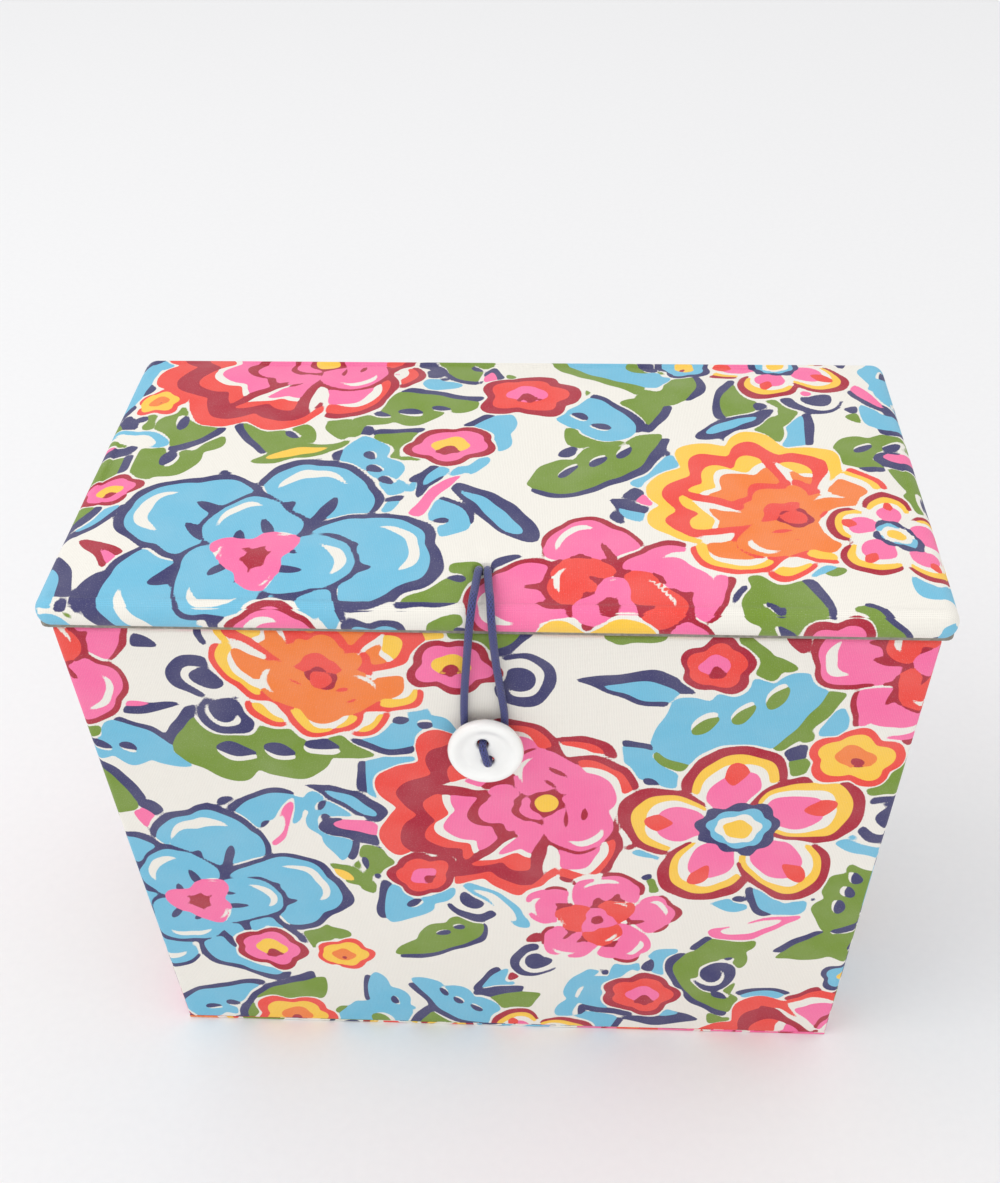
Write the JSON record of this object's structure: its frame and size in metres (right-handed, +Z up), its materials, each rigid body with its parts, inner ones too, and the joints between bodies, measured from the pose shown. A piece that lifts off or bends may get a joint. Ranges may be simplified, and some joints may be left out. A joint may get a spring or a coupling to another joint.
{
  "type": "sewing box with trays",
  "caption": "Cloth-covered board sewing box with a padded flap lid, an elastic loop over a button, and two lift-out compartment trays.",
  "frame": {"origin": "centre of the resting face, on the floor", "axes": "+X along the width to the right of someone facing the button, +Y from the button to the hinge, +Z up"},
  "size_m": [0.29, 0.1676, 0.2352],
  "materials": {
    "printed_cotton": "plain-weave cotton with a bold printed floral",
    "plain_cotton": "plain-weave cotton over card",
    "tray_cotton": "plain-weave cotton over board",
    "grey_board": "uncoated stiff board",
    "wadding": "soft white wadding",
    "felt_mat": "wool felt",
    "navy_ribbon": "woven ribbon",
    "navy_elastic": "round braided elastic cord",
    "white_resin": "polished cast resin"
  },
  "bodies": {
    "root": {"base_panel": "printed_cotton", "bottom_board": "grey_board", "front_board": "grey_board", "back_board": "grey_board", "left_board": "grey_board", "right_board": "grey_board", "body_cover": "printed_cotton", "rim_facing": "printed_cotton", "floor_lining": "plain_cotton", "front_lining": "plain_cotton", "back_lining": "plain_cotton", "left_lining": "plain_cotton", "right_lining": "plain_cotton", "upper_ledges": "plain_cotton", "lower_ledges": "plain_cotton", "hinge_cloth": "printed_cotton", "button": "white_resin", "button_cord": "navy_elastic", "button_washer": "white_resin"},
    "lid": {"lid_board": "grey_board", "lid_padding": "wadding", "lid_cover": "printed_cotton", "lid_inner_card": "plain_cotton", "lid_inner_pad": "plain_cotton", "elastic_knot": "navy_elastic"},
    "loop": {"elastic_loop": "navy_elastic"},
    "upper_tray": {"upper_tray_floor": "tray_cotton", "upper_tray_sides": "tray_cotton", "upper_tray_ends": "tray_cotton", "upper_tray_long_divider": "tray_cotton", "upper_tray_cross_dividers": "tray_cotton", "upper_tray_mats": "felt_mat", "upper_tray_tabs": "navy_ribbon"},
    "lower_tray": {"lower_tray_floor": "tray_cotton", "lower_tray_sides": "tray_cotton", "lower_tray_ends": "tray_cotton", "lower_tray_cross_dividers": "tray_cotton", "lower_tray_mats": "felt_mat", "lower_tray_tabs": "navy_ribbon"}
  },
  "joints": [
    {"name": "lid_hinge", "type": "hinge", "parent": "root", "child": "lid", "pos_m": [0, 0.08, 0.2202], "axis": [-1, 0, 0], "range_deg": [0, 180], "deforming": ["hinge_cloth"]},
    {"name": "loop_swing", "type": "hinge", "parent": "lid", "child": "loop", "pos_m": [0, -0.0775, 0.2284], "axis": [-1, 0, 0], "range_deg": [0, 120], "deforming": ["elastic_loop"]},
    {"name": "upper_tray_lift", "type": "slide", "parent": "root", "child": "upper_tray", "axis": [0, 0, 1], "range_m": [0, 0.088]},
    {"name": "lower_tray_lift", "type": "slide", "parent": "root", "child": "lower_tray", "axis": [0, 0, 1], "range_m": [0, 0.063]}
  ],
  "couplings": [
    {"joint": "upper_tray_lift", "follows": "lid_hinge", "m_per_rad": 0.028},
    {"joint": "lower_tray_lift", "follows": "lid_hinge", "m_per_rad": 0.02}
  ]
}
